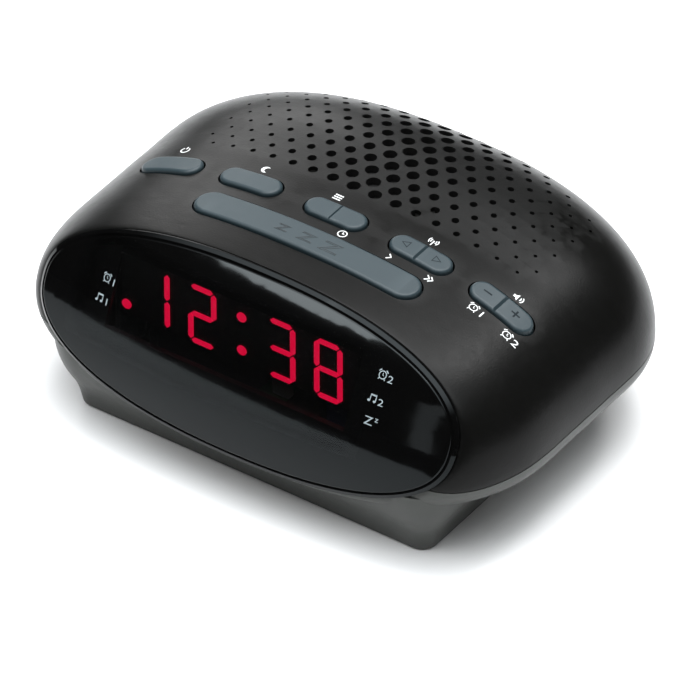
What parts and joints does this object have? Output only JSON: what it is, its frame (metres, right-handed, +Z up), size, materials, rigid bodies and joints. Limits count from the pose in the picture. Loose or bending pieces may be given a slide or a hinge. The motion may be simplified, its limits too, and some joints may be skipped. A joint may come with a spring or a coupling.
{
  "type": "clock radio",
  "caption": "Bedside clock radio with a smooth two-part case on a pedestal, a bulging oval lens over a lit time display, a row of keys, a snooze bar and an upward-facing speaker.",
  "frame": {"origin": "on the surface that the feet stand on, under the middle of the whole radio's box", "axes": "+Z up, -Y towards the person in front of the display, +X to that person's right"},
  "size_m": [0.1322, 0.1031, 0.0545],
  "materials": {
    "case_plastic": "fine spark-eroded texture, black ABS",
    "lens": "polished smoked acrylic, near black",
    "mask": "flat black screen",
    "module": "black LED block",
    "lit_segments": "lit red LED segments",
    "key_plastic": "blue-grey satin ABS",
    "switch_black": "black nylon",
    "plunger_plastic": "natural nylon",
    "pin_steel": "turned steel",
    "board_green": "green solder mask on paper laminate",
    "tin_plate": "tin-plated steel",
    "chip_black": "moulded epoxy",
    "capacitor_sleeve": "dark blue shrink sleeve",
    "heatsink": "plain sheet",
    "ribbon": "grey ribbon",
    "speaker_steel": "black passivated steel",
    "magnet": "ferrite",
    "foam": "rolled rubber edge",
    "cone_paper": "black doped paper",
    "cloth": "black dust cloth",
    "lamination": "varnished laminations",
    "bobbin": "taped winding",
    "screw_steel": "zinc-plated steel",
    "foot_rubber": "soft rubber",
    "clip_nickel": "nickel-plated"
  },
  "bodies": {
    "case": {"top_shell": "case_plastic", "bottom_shell": "case_plastic", "front_lens": "lens", "display_mask": "mask", "display_module": "module", "display_board": "board_green", "time_digits": "lit_segments", "switch_housings": "switch_black", "key_board": "board_green", "main_board": "board_green", "tuner_can": "tin_plate", "ic_packages": "chip_black", "capacitors": "capacitor_sleeve", "regulator_heatsink": "heatsink", "ribbon_cables": "ribbon", "speaker_frame": "speaker_steel", "speaker_magnet": "magnet", "speaker_surround": "foam", "speaker_cloth": "cloth", "battery_clip": "clip_nickel", "transformer_core": "lamination", "transformer_bobbin": "bobbin", "case_screws": "screw_steel", "key_board_screws": "screw_steel", "board_screws": "screw_steel", "speaker_screws": "screw_steel", "rubber_feet": "foot_rubber"},
    "power_key": {"power_key": "key_plastic"},
    "sleep_key": {"sleep_key": "key_plastic"},
    "preset_key": {"preset_key": "key_plastic"},
    "snooze_bar": {"snooze_bar": "key_plastic"},
    "tuning_pin": {"tuning_pin": "pin_steel"},
    "tuning_rocker": {"tuning_rocker": "key_plastic"},
    "volume_pin": {"volume_pin": "pin_steel"},
    "volume_rocker": {"volume_rocker": "key_plastic"},
    "power_plunger": {"power_plunger": "plunger_plastic"},
    "sleep_plunger": {"sleep_plunger": "plunger_plastic"},
    "preset_plunger": {"preset_plunger": "plunger_plastic"},
    "snooze_plunger": {"snooze_plunger": "plunger_plastic"},
    "tuning_down_plunger": {"tuning_down_plunger": "plunger_plastic"},
    "tuning_up_plunger": {"tuning_up_plunger": "plunger_plastic"},
    "volume_down_plunger": {"volume_down_plunger": "plunger_plastic"},
    "volume_up_plunger": {"volume_up_plunger": "plunger_plastic"},
    "speaker_cone": {"speaker_cone": "cone_paper", "speaker_dust_cap": "cone_paper"},
    "battery_door": {"battery_door": "case_plastic"}
  },
  "joints": [
    {"name": "power_key_press", "type": "slide", "parent": "case", "child": "power_key", "axis": [0, 0, -1], "range_m": [0, 0.00025], "stiffness_N_per_m": 4000},
    {"name": "power_plunger_press", "type": "slide", "parent": "case", "child": "power_plunger", "axis": [0, 0, -1], "range_m": [0, 0.00025]},
    {"name": "sleep_key_press", "type": "slide", "parent": "case", "child": "sleep_key", "axis": [0, 0, -1], "range_m": [0, 0.00025], "stiffness_N_per_m": 4000},
    {"name": "sleep_plunger_press", "type": "slide", "parent": "case", "child": "sleep_plunger", "axis": [0, 0, -1], "range_m": [0, 0.00025]},
    {"name": "preset_key_press", "type": "slide", "parent": "case", "child": "preset_key", "axis": [0, 0, -1], "range_m": [0, 0.00025], "stiffness_N_per_m": 4000},
    {"name": "preset_plunger_press", "type": "slide", "parent": "case", "child": "preset_plunger", "axis": [0, 0, -1], "range_m": [0, 0.00025]},
    {"name": "snooze_bar_press", "type": "slide", "parent": "case", "child": "snooze_bar", "axis": [0, 0, -1], "range_m": [0, 0.00025], "stiffness_N_per_m": 4000},
    {"name": "snooze_plunger_press", "type": "slide", "parent": "case", "child": "snooze_plunger", "axis": [0, 0, -1], "range_m": [0, 0.00025]},
    {"name": "tuning_up_tip", "type": "hinge", "parent": "case", "child": "tuning_pin", "pos_m": [0.0233, -0.0077, 0.05003], "axis": [0, 1, 0], "range_deg": [0, 3.18]},
    {"name": "tuning_down_tip", "type": "hinge", "parent": "tuning_pin", "child": "tuning_rocker", "pos_m": [0.0233, -0.0077, 0.05003], "axis": [0, 1, 0], "range_deg": [-3.18, 0]},
    {"name": "tuning_up_plunger_press", "type": "slide", "parent": "case", "child": "tuning_up_plunger", "axis": [0, 0, -1], "range_m": [0, 0.00025], "stiffness_N_per_m": 6000},
    {"name": "tuning_down_plunger_press", "type": "slide", "parent": "case", "child": "tuning_down_plunger", "axis": [0, 0, -1], "range_m": [0, 0.00025], "stiffness_N_per_m": 6000},
    {"name": "volume_up_tip", "type": "hinge", "parent": "case", "child": "volume_pin", "pos_m": [0.0452, -0.0077, 0.04518], "axis": [0, 1, 0], "range_deg": [0, 3.18]},
    {"name": "volume_down_tip", "type": "hinge", "parent": "volume_pin", "child": "volume_rocker", "pos_m": [0.0452, -0.0077, 0.04518], "axis": [0, 1, 0], "range_deg": [-3.18, 0]},
    {"name": "volume_up_plunger_press", "type": "slide", "parent": "case", "child": "volume_up_plunger", "axis": [0, 0, -1], "range_m": [0, 0.00025], "stiffness_N_per_m": 6000},
    {"name": "volume_down_plunger_press", "type": "slide", "parent": "case", "child": "volume_down_plunger", "axis": [0, 0, -1], "range_m": [0, 0.00025], "stiffness_N_per_m": 6000},
    {"name": "speaker_cone_travel", "type": "slide", "parent": "case", "child": "speaker_cone", "axis": [0, 0, 1], "range_m": [-0.0005, 0.0005], "stiffness_N_per_m": 500, "deforming": ["speaker_surround"]},
    {"name": "battery_door_slide", "type": "slide", "parent": "case", "child": "battery_door", "axis": [0, 1, 0], "range_m": [0, 0.02]}
  ],
  "couplings": [
    {"joint": "power_plunger_press", "follows": "power_key_press", "ratio": 1},
    {"joint": "sleep_plunger_press", "follows": "sleep_key_press", "ratio": 1},
    {"joint": "preset_plunger_press", "follows": "preset_key_press", "ratio": 1},
    {"joint": "snooze_plunger_press", "follows": "snooze_bar_press", "ratio": 1},
    {"joint": "tuning_up_tip", "follows": "tuning_up_plunger_press", "rad_per_m": 222},
    {"joint": "tuning_down_tip", "follows": "tuning_down_plunger_press", "rad_per_m": -222},
    {"joint": "volume_up_tip", "follows": "volume_up_plunger_press", "rad_per_m": 222},
    {"joint": "volume_down_tip", "follows": "volume_down_plunger_press", "rad_per_m": -222}
  ]
}
